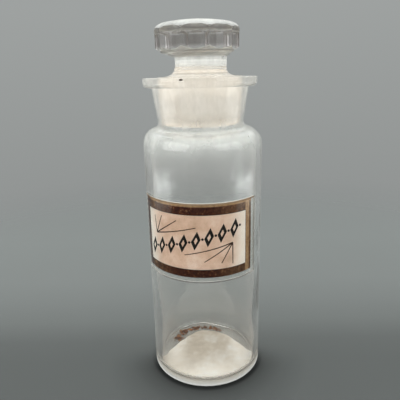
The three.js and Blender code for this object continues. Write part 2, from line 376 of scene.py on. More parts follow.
def eased(value):
    """0 below 0 and 1 above 1, with a soft rise between them."""
    share = clamped(value)
    return share * share * (3 - 2 * share)


def hold(z, low, high, fade):
    """1 well between two heights and 0 at them."""
    return eased(min(z - low, high - z) / fade)


def drawn_aside(point):
    """The point, moved a little towards -X where it is on the neck."""
    neck_start = PLUG_BOTTOM_Z - PLUG_EDGE - SHOULDER_RADIUS
    share = eased((point[2] / MM - neck_start) / SHOULDER_RADIUS)
    return (point[0] - NECK_OFFSET * MM * share, point[1], point[2])


def in_scene(name, data):
    """A new object, put into the scene."""
    made = bpy.data.objects.new(name, data)
    bpy.context.scene.collection.objects.link(made)
    return made


def new_mesh(name, verts, faces, materials, slots=None, sharp_deg=SHARP_DEG):
    """A smooth object with sharp edges, and its faces' material slots."""
    mesh = bpy.data.meshes.new(name)
    mesh.from_pydata(verts, [], faces)
    for material in materials:
        mesh.materials.append(material)
    if slots:
        mesh.polygons.foreach_set("material_index", slots)
    mesh.shade_smooth()
    mesh.set_sharp_from_angle(angle=radians(sharp_deg))
    return in_scene(name, mesh)


def add_ring(verts, rings, points):
    """Adds a row of points, and the list of their numbers to the rings."""
    rings.append(list(range(len(verts), len(verts) + len(points))))
    verts.extend(points)


def ring_faces(lower, upper):
    """Quads between two closed rings of vertex numbers, or triangles where one is a single point."""
    count = max(len(lower), len(upper))
    faces = []
    for j in range(count):
        k = (j + 1) % count
        if len(lower) == 1:
            faces.append((lower[0], upper[k], upper[j]))
        elif len(upper) == 1:
            faces.append((lower[j], lower[k], upper[0]))
        else:
            faces.append((lower[j], lower[k], upper[k], upper[j]))
    return faces


def strip_faces(lower, upper):
    """Quads between two open rows of vertex numbers."""
    return ring_faces(lower, upper)[:-1]


def skin(rings):
    """The faces between each ring and the next."""
    return [face for lower, upper in zip(rings, rings[1:]) for face in ring_faces(lower, upper)]


def turned(faces):
    """The same faces, seen from their other side."""
    return [face[::-1] for face in faces]


def even_angles(count, start=0):
    return [start + 2 * pi * j / count for j in range(count)]


def ripple(angle, z, amount, around, along):
    """The slight unevenness of blown glass, in millimetres."""
    broad = Vector((around * sin(angle), around * cos(angle), z / along))
    fine = Vector((FINE_AROUND * broad.x, FINE_AROUND * broad.y, FINE_ALONG * broad.z + FINE_SHIFT))
    return amount * (noise(broad) + FINE_RIPPLE * noise(fine))


def bottle_angles(reach):
    """Even steps round the bottle, and the two ends of the recess."""
    step = 2 * pi / ROUND_STEPS
    angles = [-pi + j * step for j in range(ROUND_STEPS)]
    kept = [a for a in angles if abs(abs(a) - reach) > step / 3]
    return sorted(kept + [-reach, reach])


def bottle_rings(angles):
    """The bottle's rows, from the foot over the lip to the floor."""
    skins = (
        (outer_profile(), OUTER_RIPPLE, OUTER_RIPPLE_HOLD),
        (inner_profile(), INNER_RIPPLE, INNER_RIPPLE_HOLD),
    )
    verts, rings = [], []
    for profile, (depth, around, along), held in skins:
        for r, z in filled(profile):
            if r < TINY:
                add_ring(verts, rings, [(0, 0, z * MM)])
                continue
            sway = depth * hold(z, *held)
            points = [at(r + ripple(a, z, sway, around, along), a, z) for a in angles]
            add_ring(verts, rings, [drawn_aside(point) for point in points])
    return verts, rings


def row_at(rows, z):
    """The row on the body's side that is nearest to a height."""
    return min(range(len(rows)), key=lambda i: dist(rows[i], (BODY_RADIUS, z)))


def recess_faces(rings, sunk, first, last):
    """The body's wall where the recess is sunk into it, between two angles."""
    faces = []
    for below, above, low, high in zip(rings, rings[1:], sunk, sunk[1:]):
        wall = ring_faces(below, above)
        faces += wall[:first] + wall[last:] + strip_faces(low, high)
        faces.append([below[first], low[0], high[0], above[first]])
        faces.append([low[-1], below[last], above[last], high[-1]])
    faces += strip_faces(rings[0][first : last + 1], sunk[0])
    faces += strip_faces(sunk[-1], rings[-1][first : last + 1])
    return faces


def make_bottle(outside_glass, inside_glass):
    """The bottle as one closed skin, with the label's recess in its wall."""
    reach = half_angle(COVER_HIGH, BODY_RADIUS) + EDGE_GAP / BODY_RADIUS
    angles = bottle_angles(reach)
    first, last = angles.index(-reach), angles.index(reach)
    verts, rings = bottle_rings(angles)
    rows = filled(outer_profile())
    low, high = row_at(rows, RECESS_LOW_Z), row_at(rows, RECESS_HIGH_Z)
    sunk = []
    for _, z in rows[low : high + 1]:
        add_ring(verts, sunk, [at(RECESS_RADIUS, a, z) for a in angles[first : last + 1]])
    outside = skin(rings[: low + 1]) + recess_faces(rings[low : high + 1], sunk, first, last)
    outside += skin(rings[high : len(rows) + 1])
    inside = skin(rings[len(rows) :])
    slots = [0] * len(outside) + [1] * len(inside)
    return new_mesh("bottle_glass", verts, outside + inside, [outside_glass, inside_glass], slots)


def hollow_flare(top):
    """The tight hollow curve from the plug's top to the shank."""
    points = []
    for x, y in arc((0, 0), 1, 270, 180):
        across = abs(x) ** (2 / FLARE_BEND) * (top - SHANK_RADIUS)
        down = abs(y) ** (2 / FLARE_BEND) * FLARE_HEIGHT
        points.append((top - across, SHANK_LOW_Z - down))
    return points


def stopper_profile():
    """The stopper's outline: plug, flare and shank, and then the head."""
    bottom = plug_radius(PLUG_BOTTOM_Z)
    top = plug_radius(LIP_TOP_Z)
    dish = crown(bottom - PLUG_EDGE, PLUG_BOTTOM_Z, PLUG_DISH_DEPTH)
    plug = filled([*dish, (bottom, PLUG_BOTTOM_Z + PLUG_EDGE), (top, LIP_TOP_Z)], PLUG_SPACING)
    flare = filled([(top, LIP_TOP_Z), *hollow_flare(top), (SHANK_RADIUS, SHANK_TOP_Z)], FLARE_SPACING)
    dome_radius = HEAD_RADIUS - BROW_WIDTH
    brow = arc((dome_radius, RIM_TOP_Z), BROW_WIDTH, 0, BROW_DEG, BROW_RISE)
    head = [
        (SHANK_RADIUS, SHANK_TOP_Z),
        (HEAD_RADIUS - CHAMFER_WIDTH, CHAMFER_Z),
        (HEAD_RADIUS, RIM_BOTTOM_Z),
        *brow,
        *crown(dome_radius, CROWN_EDGE_Z, HEAD_CROWN_RISE)[::-1],
    ]
    return plug + flare[1:], filled(head, HEAD_SPACING)[1:]


def soft_least(a, b, width):
    """The smaller of two numbers, rounded off where they meet."""
    share = max(0, width - abs(a - b)) / width
    return min(a, b) - share * share * width / 4


def flute_radius(angle, z):
    """How far out the fluted rim reaches. The flutes run out a little towards the dome."""
    pitch = 2 * pi / FLUTE_COUNT
    turn = (angle - HEAD_TURN + pitch / 2) % pitch - pitch / 2
    distance = HEAD_RADIUS - FLUTE_DEPTH + FLUTE_RADIUS
    across = distance * sin(turn)
    run_out = FLUTE_RUN_OUT * max(0, z - RIM_TOP_Z + FLUTE_STRAIGHT_END) ** 2
    return distance * cos(turn) - sqrt(FLUTE_RADIUS**2 - across**2) + run_out


def tool_groove(z):
    """The depth of the tool's fine rings round the flare and the head's underside."""
    held = hold(z, PLUG_TOP_Z + GROOVE_START, SHANK_TOP_Z, GROOVE_FADE)
    held += hold(z, SHANK_TOP_Z, RIM_BOTTOM_Z, HEAD_GROOVE_FADE)
    return GROOVE_DEPTH * held * (0.5 + 0.5 * cos(2 * pi * (z - PLUG_TOP_Z) / GROOVE_SPACING))


def stopper_aside(r, z, in_head):
    """How far towards -X a row stands: the shank less than the neck, the head more."""
    if z > CHAMFER_Z:
        return NECK_OFFSET + HEAD_OFFSET
    back = NECK_OFFSET * clamped((z - PLUG_TOP_Z) / FLARE_HEIGHT)
    underside = (r - SHANK_RADIUS) / (HEAD_RADIUS - CHAMFER_WIDTH - SHANK_RADIUS)
    return NECK_OFFSET - back + (HEAD_OFFSET + NECK_OFFSET) * clamped(underside) * in_head


def make_stopper(clear, ground, dusty):
    """The stopper as one closed skin, with a ground plug and a dusty dome."""
    lower, head = stopper_profile()
    angles = even_angles(HEAD_STEPS, HEAD_TURN)
    verts, rings = [], []
    for row, (r, z) in enumerate(lower + head):
        in_head = row >= len(lower)
        aside = stopper_aside(r, z, in_head) * MM
        if r < TINY:
            add_ring(verts, rings, [(-aside, 0, z * MM)])
            continue
        radii = [soft_least(r, flute_radius(a, z), ARRIS_ROUNDING) if in_head else r for a in angles]
        groove = tool_groove(z)
        points = [at(radius - groove, a, z) for radius, a in zip(radii, angles)]
        add_ring(verts, rings, [(x - aside, y, height) for x, y, height in points])
    made = new_mesh("stopper_glass", verts, skin(rings), [clear, ground, dusty], sharp_deg=STOPPER_SHARP_DEG)
    low, high = (PLUG_BOTTOM_Z + GROUND_START) * MM, (LIP_TOP_Z + GROUND_PAST_LIP) * MM
    least = (plug_radius(PLUG_BOTTOM_Z) - 2 * PLUG_EDGE) * MM
    for face in made.data.polygons:
        centre = face.center
        if low < centre.z < high and hypot(centre.x, centre.y) > least:
            face.material_index = 1
        elif centre.z > (RIM_TOP_Z + DOME_START) * MM and face.normal.z > DOME_SLOPE:
            face.material_index = 2
    return made


# The label's layers, as sheets bent round the axis.


def spaced(start, end, step):
    """Even steps from start to end, no longer than step."""
    parts = max(1, ceil(abs(end - start) / step))
    return [start + (end - start) * i / parts for i in range(parts + 1)]


def bent_sheet(name, angles, heights, inner, outer, materials, hole=None, bevel=0):
    """A closed sheet bent round the axis, with a window left out where hole gives the cells.

    The bevel takes off its front edges, and its rim then has the second material."""
    up, across = len(heights) - 1, len(angles) - 1
    numbers, verts, faces, slots = {}, [], [], []

    def kept(i, j):
        in_hole = hole and hole[0] <= i < hole[1] and hole[2] <= j < hole[3]
        return 0 <= i < up and 0 <= j < across and not in_hole

    def number(back, i, j):
        if (back, i, j) not in numbers:
            numbers[back, i, j] = len(verts)
            front = outer - (bevel if i in (0, up) or j in (0, across) else 0)
            verts.append(at(inner if back else front, angles[j], heights[i]))
        return numbers[back, i, j]

    def add_face(corners, slot):
        faces.append([number(*corner) for corner in corners])
        slots.append(slot)

    for i, j in [(i, j) for i in range(up) for j in range(across) if kept(i, j)]:
        corners = [(i, j), (i, j + 1), (i + 1, j + 1), (i + 1, j)]
        neighbours = [(i - 1, j), (i, j + 1), (i + 1, j), (i, j - 1)]
        on_rim = i in (0, up - 1) or j in (0, across - 1)
        add_face([(0, *corner) for corner in corners], 1 if bevel and on_rim else 0)
        add_face([(1, *corner) for corner in corners[::-1]], 0)
        for neighbour, a, b in zip(neighbours, corners, corners[1:] + corners[:1]):
            if not kept(*neighbour):
                add_face([(0, *a), (1, *a), (1, *b), (0, *b)], 1 if bevel else 0)
    return new_mesh(name, verts, faces, materials, slots)


def layer_grid(low, high, outer, bevel=0):
    """The angles and heights at which a layer is cut, from its CAD corners."""
    reach = half_angle(high, outer)
    edge = bevel / BODY_RADIUS
    angles = spaced(-reach + edge, reach - edge, SHEET_STEP)
    heights = spaced(low.z + bevel, high.z - bevel, ROW_SPACING)
    if bevel:
        angles = [-reach, *angles, reach]
        heights = [low.z, *heights, high.z]
    return angles, heights


def make_cover(clear, ground):
    """The cover glass, with a ground bevel round its front."""
    angles, heights = layer_grid(COVER_LOW, COVER_HIGH, BODY_RADIUS, COVER_BEVEL)
    return bent_sheet(
        "cover_glass_plate", angles, heights, COVER_BACK, BODY_RADIUS, [clear, ground], bevel=COVER_BEVEL
    )


def make_border(finish):
    """The gilt frame, with the gold line that stands above it."""
    reach = half_angle(BORDER_HIGH, SHEET_OUTER)
    band = BORDER_BAND / BODY_RADIUS
    side = spaced(-reach, -reach + band, SHEET_STEP)
    middle = spaced(-reach + band, reach - band, SHEET_STEP)
    angles = side + middle[1:] + [-a for a in side[-2::-1]]
    low = spaced(BORDER_LOW.z, BORDER_LOW.z + BORDER_BAND, BAND_SPACING)
    between = spaced(BORDER_LOW.z + BORDER_BAND, BORDER_HIGH.z - BORDER_BAND, ROW_SPACING)
    top = spaced(BORDER_HIGH.z - BORDER_BAND, BORDER_HIGH.z + GOLD_LINE, BAND_SPACING)
    heights = low + between[1:] + top[1:]
    hole = (len(low) - 1, len(low) + len(between) - 2, len(side) - 1, len(side) + len(middle) - 2)
    return bent_sheet("gilt_border", angles, heights, SHEET_INNER, SHEET_OUTER, [finish], hole=hole)


def make_panel(finish):
    angles, heights = layer_grid(PANEL_LOW, PANEL_HIGH, SHEET_OUTER)
    return bent_sheet("cream_panel", angles, heights, SHEET_INNER, SHEET_OUTER, [finish])


# Painted marks on the cream panel, each a thin raised patch of paint.


def on_label(across, up, radius):
    return at(radius, across / BODY_RADIUS, LABEL_CENTRE_Z + up)


def paint_ribbon(verts, faces, start, end):
    """A straight line of paint that tapers from start to end."""
    line = Vector(end) - Vector(start)
    aside = Vector((-line.y, line.x)).normalized()
    rows = []
    for share in spaced(0, 1, RAY_SPACING / line.length):
        middle = Vector(start) + line * share
        half = aside * (RAY_WIDTH + (RAY_END_WIDTH - RAY_WIDTH) * share) / 2
        left, right = middle + half, middle - half
        corners = ((left, INK_OUTER), (right, INK_OUTER), (right, INK_INNER), (left, INK_INNER))
        add_ring(verts, rows, [on_label(*place, radius) for place, radius in corners])
    faces += [rows[0][::-1], *skin(rows), rows[-1]]


def paint_ring(verts, faces, outer, inner):
    """A closed patch of paint between two loops of places, which run anticlockwise."""
    loops = []
    for places, radius in ((outer, INK_OUTER), (inner, INK_OUTER), (inner, INK_INNER), (outer, INK_INNER)):
        add_ring(verts, loops, [on_label(*place, radius) for place in places])
    faces += skin(loops + loops[:1])


def paint_dot(verts, faces, centre):
    turns = even_angles(DOT_SIDES)
    places = [centre + DOT_RADIUS * Vector((cos(t), sin(t))) for t in turns]
    loops = []
    for radius in (INK_INNER, INK_OUTER):
        add_ring(verts, loops, [on_label(*place, radius) for place in places])
    faces += [loops[1], loops[0][::-1], *skin(loops)]


def lozenge(centre, share):
    """A slanted lozenge as a loop of places, cut finely enough to follow the bend."""
    level = Vector((cos(CHAIN_SLOPE), sin(CHAIN_SLOPE))) * LOZENGE_WIDTH / 2 * share
    upright = Vector((sin(CHAIN_SLANT), cos(CHAIN_SLANT))) * LOZENGE_HEIGHT / 2 * share
    corners = [centre + side for side in (level, upright, -level, -upright)]
    sides = zip(corners, corners[1:] + corners[:1])
    return [a.lerp(b, k / LOZENGE_CUTS) for a, b in sides for k in range(LOZENGE_CUTS)]


def make_rays(finish):
    """Two fans of fine lines, in opposite corners of the panel."""
    verts, faces = [], []
    for apex, ends in RAY_FANS:
        for end in ends:
            paint_ribbon(verts, faces, apex, end)
    return new_mesh("label_rays", verts, faces, [finish])


def on_chain(across):
    return Vector((across, CHAIN_RISE + across * tan(CHAIN_SLOPE)))


def make_ornament(finish):
    """A plain chain of pierced lozenges and dots along the panel's slanting middle."""
    verts, faces = [], []
    step = (CHAIN_END - CHAIN_START) / (2 * CHAIN_COUNT)
    for i in range(CHAIN_COUNT):
        across = CHAIN_START + (2 * i + 0.5) * step
        centre = on_chain(across)
        paint_ring(verts, faces, lozenge(centre, 1), lozenge(centre, LOZENGE_OPEN))
        paint_dot(verts, faces, on_chain(across + step))
    return new_mesh("label_ornament", verts, faces, [finish])


# Dry powder and crumbs left in the bottle.

# The inside from the middle of the floor to the top of its rounded corner.
FLOOR_LINE = [
    (r, z) for r, z in filled(inner_profile()[::-1], LINE_SPACING)
    if z < FLOOR_THICKNESS + CORNER_RADIUS + TINY
]


def from_camera(right, deep):
    """The angle from -Y and the radius of a place on the floor."""
    x = right * cos(CAMERA_TURN) - deep * sin(CAMERA_TURN)
    y = right * sin(CAMERA_TURN) + deep * cos(CAMERA_TURN)
    return atan2(x, -y), hypot(x, y)


def floor_z(radius):
    for (r0, z0), (r1, z1) in zip(FLOOR_LINE, FLOOR_LINE[1:]):
        if r0 <= radius <= r1:
            return z0 + (z1 - z0) * (radius - r0) / max(r1 - r0, TINY)
    return FLOOR_LINE[-1][1]


def powder_reach(angle):
    """How far the powder reaches from the middle at an angle from -Y."""
    turn = angle - CAMERA_TURN
    right, deep = sin(turn), -cos(turn)
    low, high = 0, POWDER_REACH
    for _ in range(30):
        middle = (low + high) / 2
        edge = POWDER_EDGE - POWDER_BEND * (right * middle - POWDER_EDGE_MIDDLE) ** 2
        if deep * middle < edge:
            low = middle
        else:
            high = middle
    broad = noise(Vector((4 * right, 4 * deep, 0.5)))
    fine = noise(Vector((11 * right, 11 * deep, 2.5)))
    return min(POWDER_REACH, low + POWDER_WANDER * (broad + 0.5 * fine))


def powder_point(radius, angle, lift, at_rim):
    """A point of the film, lifted square to the floor."""
    if at_rim:
        lift = min(lift, POWDER_UNDER + POWDER_RIM)
    elif lift == POWDER_TOP:
        place = Vector((radius * sin(angle), radius * cos(angle), 0))
        lift += POWDER_GRAIN * noise(place * GRAIN_SCALE)
    inward = lift * max(0, (radius - FLAT_RADIUS) / CORNER_RADIUS)
    upward = lift * sqrt(max(0, 1 - (inward / lift) ** 2))
    return at(radius - inward, angle, floor_z(radius) + upward)


def make_powder(finish):
    """A thin film of powder on the floor's front part and up its corner."""
    reaches = [(a, powder_reach(a)) for a in even_angles(POWDER_STEPS, -pi)]
    verts, sides = [], []
    for lift in (POWDER_TOP, POWDER_UNDER):
        rings = []
        add_ring(verts, rings, [(0, 0, (floor_z(0) + lift) * MM)])
        for ring in range(1, POWDER_RINGS + 1):
            share = sin(pi / 2 * ring / POWDER_RINGS)
            at_rim = ring == POWDER_RINGS
            add_ring(verts, rings, [powder_point(share * r, a, lift, at_rim) for a, r in reaches])
        sides.append(rings)
    top, under = sides
    faces = turned(skin(top)) + skin(under) + ring_faces(under[-1], top[-1])
    return new_mesh("powder_film", verts, faces, [finish])


def lump(verts, faces, centre, radius, draw):
    """A small uneven grain."""
    made = bmesh.new()
    bmesh.ops.create_icosphere(made, subdivisions=2, radius=1.0)
    seed = Vector((draw.random(), draw.random(), draw.random())) * 50
    sides = [draw.uniform(low, high) for low, high in CRUMB_SIDES]
    turn = Matrix.Rotation(draw.uniform(0, pi), 3, "Z")
    start = len(verts)
    for v in made.verts:
        place = v.co * (1 + CRUMB_DENTS * noise(v.co * CRUMB_DENT_SCALE + seed))
        place = turn @ Vector([part * side for part, side in zip(place, sides)])
        verts.append(Vector(centre) + place * radius * MM)
    faces += [[v.index + start for v in face.verts] for face in made.faces]
    made.free()


def make_crumbs(finish):
    """Brown crumbs along the back edge of the powder."""
    draw = random.Random(CRUMB_SEED)
    verts, faces = [], []
    for _ in range(CRUMB_COUNT):
        share = draw.random() ** CRUMB_CROWDING * (len(CRUMB_LINE) - 1)
        i = min(int(share), len(CRUMB_LINE) - 2)
        place = Vector(CRUMB_LINE[i]).lerp(Vector(CRUMB_LINE[i + 1]), share - i)
        angle, radius = from_camera(*(part + draw.gauss(0, s) for part, s in zip(place, CRUMB_SCATTER)))
        radius = min(radius, CRUMB_REACH)
        size = draw.uniform(*CRUMB_SIZES)
        centre = at(radius, angle, floor_z(radius) + CRUMB_LIFT * size)
        lump(verts, faces, centre, size, draw)
    return new_mesh("crumbs", verts, faces, [finish], sharp_deg=CRUMB_SHARP_DEG)


def make_lip_crumb(finish):
    """One dark speck on the front of the lip."""
    verts, faces = [], []
    centre = at(SPECK_PLACE[0], SPECK_ANGLE, SPECK_PLACE[1])
    lump(verts, faces, centre, SPECK_RADIUS, random.Random(SPECK_SEED))
    return new_mesh("lip_speck", verts, faces, [finish], sharp_deg=CRUMB_SHARP_DEG)


# The dusty films, the painted bands of light and shade, and the glass, as lists of (height, share) and of
# (height, colour).
CLEAR_TINT = (0.985, 0.985, 0.975)
LAMP_TINT = (0.97, 0.975, 0.965)
GLASS_IOR = 1.5
GLASS_ROUGHNESS = (0, 0.03)
STREAK_SHARES = (0.45, 1.6)
EDGE_HAZE = 0.28
HAZE_POWER = 3
DUST = (0.86, 0.85, 0.8)
HEEL_GLOW_PALE = (0.98, 0.97, 0.94)
PALE = (0.96, 0.96, 0.93)
DARK = (0.1, 0.09, 0.08)
OUTSIDE_DUST = [(0, 0.01), (110, 0.01), (122, 0.03), (132, 0.06), (140, 0.03), (157, 0.06)]
# On the camera's side the heel has a painted highlight: this share and the first outside tints make it white
# low down and beige above, with a greyer bottom edge.
HEEL_PAINTED_GLOW = [(0, 1), (1.4, 0.95), (2.2, 0.62), (3.8, 0.62), (5.4, 0.06), (8, 0)]
OUTSIDE_TINTS = [
    (0, (0.6, 0.58, 0.54)), (0.2, HEEL_GLOW_PALE), (1.4, HEEL_GLOW_PALE),
    (2.6, (0.9, 0.87, 0.81)), (3.8, (0.84, 0.78, 0.69)), (10, DUST),
]
INSIDE_DUST = [
    (2, 0.07), (7, 0.08), (14, 0.075), (30, 0.014), (95, 0.012), (112, 0.035),
    (121, 0.12), (127, 0.36), (132, 0.24), (138, 0.24), (142, 0.46), (157, 0.5),
]
INSIDE_TINTS = [
    (0, (0.72, 0.6, 0.48)), (12, (0.76, 0.68, 0.61)), (30, (0.8, 0.73, 0.69)),
    (110, (0.8, 0.75, 0.72)), (124, (0.86, 0.87, 0.84)), (140, (0.89, 0.855, 0.8)),
]
COVER_DUST = [(0, 0.002), (183, 0.002)]
COVER_TINTS = [(0, DUST), (183, DUST)]
# The stopper's film: pale rings on the flare, a pale band on the shank that is a painted highlight, pale and
# dark lines on the underside that are painted reflections, and a dark film on the fluted rim that is painted
# shade.
STOPPER_DUST_AND_PAINTED_BANDS = [
    (157.2, 0.3), (157.9, 0.5), (158.6, 0.22), (159.3, 0.5), (160, 0.22), (160.7, 0.5),
    (161.4, 0.2), (162.1, 0.3), (162.8, 0.52), (165.4, 0.55), (166.2, 0.3), (166.6, 0.04),
    (166.9, 0.36), (167.3, 0.04), (168.1, 0.34), (168.7, 0.42), (169.2, 0.05), (169.6, 0.36),
    (170.2, 0.05), (171.4, 0.37), (178.4, 0.37), (179.4, 0.1),
]
STOPPER_BAND_TINTS = [
    (157, (0.92, 0.87, 0.8)), (161.5, (0.94, 0.89, 0.83)), (163, PALE), (166.4, PALE),
    (166.7, DARK), (167.2, DARK), (167.6, PALE), (168.3, PALE),
    (168.5, DARK), (169.1, DARK), (169.3, PALE), (169.9, PALE),
    (170.6, (0.12, 0.1, 0.09)), (179, (0.14, 0.12, 0.11)),
]
DOME_DUST = [(177, 0.62), (180.4, 0.74), (181.4, 0.55), (182.2, 0.25), (183, 0.18)]
DOME_TINTS = [(177, (0.69, 0.69, 0.68)), (183, DUST)]
# The plug's beige, painted lighter towards the top as light from above, with a painted bright band above a
# dark bottom edge.
PLUG_TONES_AND_PAINTED_LIGHT = [
    (134, (0.5, 0.42, 0.34)), (134.9, (0.9, 0.8, 0.7)), (136, (0.86, 0.76, 0.66)),
    (137.2, (0.62, 0.55, 0.475)), (147, (0.66, 0.58, 0.505)), (151, (0.98, 0.88, 0.775)),
    (158, (0.92, 0.82, 0.72)),
]
# The cover glass's ground bevel: a painted highlight along its bottom edge, grey between, and a painted
# brown reflection of the gilt along its top edge.
COVER_EDGE_PAINTED_LIGHT = [
    (61.5, (0.9, 0.88, 0.83)), (66, (0.5, 0.47, 0.4)), (99, (0.5, 0.47, 0.4)), (100, (0.3, 0.19, 0.1))
]

# Where on the floor's plane the side towards the camera begins and is reached, for the heel's painted
# highlight.
PAINTED_FRONT_FADE = (-16 * MM, 4 * MM)

# Ground glass: its own tint and roughness, its bumps, and the share that glows through.
GROUND_TINT = (0.95, 0.93, 0.9)
GROUND_ROUGHNESS = 0.5
GROUND_BUMP = (0.4, 0.00005)
GROUND_GLOW = 0.35
GROUND_RING_TONES = [(0.3, 0.86), (0.7, 1)]

# Dull finishes, each from its dark colour to its pale one.
DULL_GLOSS = 0.1
ROUGHNESS_SWING = 0.08
BLACK_INK = [(0.002, 0.0015, 0.001), (0.006, 0.005, 0.004), (0.02, 0.014, 0.01)]
BROWN_INK = [(0.01, 0.005, 0.003), (0.04, 0.02, 0.012), (0.1, 0.06, 0.035)]
CEMENT = [(0.012, 0.007, 0.004), (0.03, 0.018, 0.011), (0.06, 0.04, 0.028)]
CRUMB = [(0.015, 0.006, 0.003), (0.1, 0.036, 0.013), (0.5, 0.22, 0.08)]
SPECK = [(0.02, 0.014, 0.01), (0.05, 0.035, 0.025), (0.09, 0.06, 0.045)]
PANEL_MIDDLE = [(0.6, 0.41, 0.29), (0.74, 0.53, 0.4), (0.86, 0.69, 0.57)]
# The panel's ends are painted paler, as light on them.
PANEL_PAINTED_LIGHT_ENDS = [(0.92, 0.82, 0.71), (0.99, 0.95, 0.87)]
PANEL_PAINTED_LIGHT_FADE = (0.55, 0.95)
PANEL_ROUGHNESS = 0.6
POWDER_MIDDLE = [(0.53, 0.455, 0.375), (0.645, 0.565, 0.47), (0.79, 0.75, 0.7)]
POWDER_FRONT = [(0.8, 0.74, 0.67), (0.96, 0.91, 0.84), (0.99, 0.98, 0.96)]
POWDER_FRONT_FADE = (-22 * MM, -5 * MM)
POWDER_SIDE_FADE = (8 * MM, 19 * MM)
POWDER_SIDE_SHARE = 0.8
POWDER_ROUGHNESS = 0.9
POWDER_BUMP = (0.6, 0.0001)
POWDER_GLOW = 0.4
WORN_LEAF = [(0.35, (0.025, 0.004, 0.001)), (0.56, (0.075, 0.016, 0.003)), (0.72, (0.42, 0.2, 0.075))]
# Bright leaf, for the gold top line and for the painted highlights on the border.
LEAF_GOLD_AND_HIGHLIGHT = [(0.22, 0.11, 0.05), (0.5, 0.31, 0.16), (0.62, 0.42, 0.24)]
LEAF_METAL = 0.6
LEAF_ROUGHNESS = 0.4
LEAF_SWING = 0.1
TOP_LINE_FADE = ((BORDER_HIGH.z - 0.3) * MM, (BORDER_HIGH.z + 0.1) * MM)
# How much the border's bands are painted brighter towards both ends, as a highlight.
LEAF_END_HIGHLIGHT = 0.2
LEAF_END_HIGHLIGHT_FADE = (0.3, 0.8)

# Noise: waves to a metre, fineness, roughness and stretch.
GLASS_NOISE = (60, 5)
STREAK_NOISE = (70, 6, 0.65, (1, 1, 0.35))
GROUND_NOISE = (90, 6, 0.6, (1, 1, 6))
PANEL_NOISE = (120, 6, 0.65)
POWDER_NOISE = (130, 6, 0.65)
LEAF_NOISE = (520, 8, 0.72)


# Materials. Each paint makes a material's surface, and an input takes a value or a node's output.


def node(tree, kind, **inputs):
    """A node of a kind, such as Bump, with some of its inputs set by name."""
    made = tree.nodes.new("ShaderNode" + kind)
    for name, value in inputs.items():
        set_input(made.inputs[name.replace("_", " ")], value)
    return made


def set_input(socket, value):
    """Gives an input a value, or links it to another node's output."""
    if isinstance(value, bpy.types.NodeSocket):
        socket.id_data.links.new(value, socket)
    else:
        socket.default_value = value


def set_inputs(made, *values):
    """The node, with its first inputs set in turn."""
    for socket, value in zip(made.inputs, values):
        set_input(socket, value)
    return made


def shader(tree, kind, **inputs):
    """A shader, such as Diffuse, in the same way."""
    return node(tree, "Bsdf" + kind, **inputs).outputs["BSDF"]


def material(name, paint, *values, **settings):
    """A new material with the surface that the paint makes."""
    made = bpy.data.materials.new(name)
    made.use_nodes = True
    made.node_tree.nodes.clear()
    surface = paint(made.node_tree, *values, **settings)
    node(made.node_tree, "OutputMaterial", Surface=surface)
    return made


def ramp(source, stops):
    """A colour that goes with the source, or a grey where the stops hold plain numbers."""
    made = node(source.id_data, "ValToRGB", Fac=source)
    elements = made.color_ramp.elements
    while len(elements) < len(stops):
        elements.new(0.5)
    for element, (place, value) in zip(elements, stops):
        element.position = place
        element.color = (*value, 1) if isinstance(value, tuple) else (value, value, value, 1)
    return made.outputs["Color"]


def mottled(grain, colours):
    """Two or three colours in turn, as the noise rises."""
    last = len(colours) - 1
    return ramp(grain, [(0.3 + 0.4 * i / last, colour) for i, colour in enumerate(colours)])


def spread(source, low, high, start=0.3, end=0.7, smooth=False):
    """A number carried from one range to another."""
    made = set_inputs(node(source.id_data, "MapRange"), source, start, end, low, high)
    if smooth:
        made.interpolation_type = "SMOOTHSTEP"
    return made.outputs["Result"]


def maths(operation, *values):
    """A number made of one or two others, the first of them a node's output."""
    made = set_inputs(node(values[0].id_data, "Math"), *values)
    made.operation = operation
    return made.outputs["Value"]


def times(first, second):
    return maths("MULTIPLY", first, second)


def plus(first, second):
    return maths("ADD", first, second)


def greatest(first, second):
    return maths("MAXIMUM", first, second)


def size_of(value):
    return maths("ABSOLUTE", value)


def xyz(tree, output="Object"):
    """The X, Y and Z of the surface's own coordinates."""
    place = node(tree, "TexCoord").outputs[output]
    return node(tree, "SeparateXYZ", Vector=place).outputs[:]


def by_height(tree, stops):
    """A colour or a number that goes with height. The stops are (height in mm, value)."""
    share = times(xyz(tree)[2], 1 / (STOPPER_TOP_Z * MM))
    return ramp(share, [(z / STOPPER_TOP_Z, value) for z, value in stops])


def as_seen(tree, output="Object"):
    """How far right and how deep a place lies, as the photograph's camera sees it."""
    x, y, _ = xyz(tree, output)
    c, s = cos(CAMERA_TURN), sin(CAMERA_TURN)
    return plus(times(x, c), times(y, s)), plus(times(x, -s), times(y, c))


def label_angle(tree):
    """How far round the label a place is, from its middle towards +X."""
    x, y, _ = xyz(tree)
    return maths("ARCTAN2", x, times(y, -1))


def texture(tree, scale, detail, roughness=0.55, stretch=(1, 1, 1)):
    """Noise over the object's own coordinates. The scale is in waves to a metre."""
    place = node(tree, "TexCoord").outputs["Object"]
    sized = node(tree, "Mapping", Vector=place, Scale=stretch).outputs["Vector"]
    made = node(tree, "TexNoise", Vector=sized, Scale=scale, Detail=detail, Roughness=roughness)
    return made.outputs["Fac"]


def bumped(source, strength, distance):
    """A normal made uneven by the source. The distance is in metres."""
    inputs = {"Height": source, "Strength": strength, "Distance": distance}
    return node(source.id_data, "Bump", **inputs).outputs["Normal"]


def blended(factor, first, second, kind="MIX"):
    """The first colour, partly replaced or multiplied by the second."""
    made = node(first.id_data, "Mix")
    made.data_type = "RGBA"
    made.blend_type = kind
    for name, value in (("Factor", factor), ("A", first), ("B", second)):
        set_input(made.inputs[name], value)
    return made.outputs["Result"]


def mixed(factor, first, second):
    """The first shader, partly replaced by the second."""
    return set_inputs(node(first.id_data, "MixShader"), factor, first, second).outputs["Shader"]


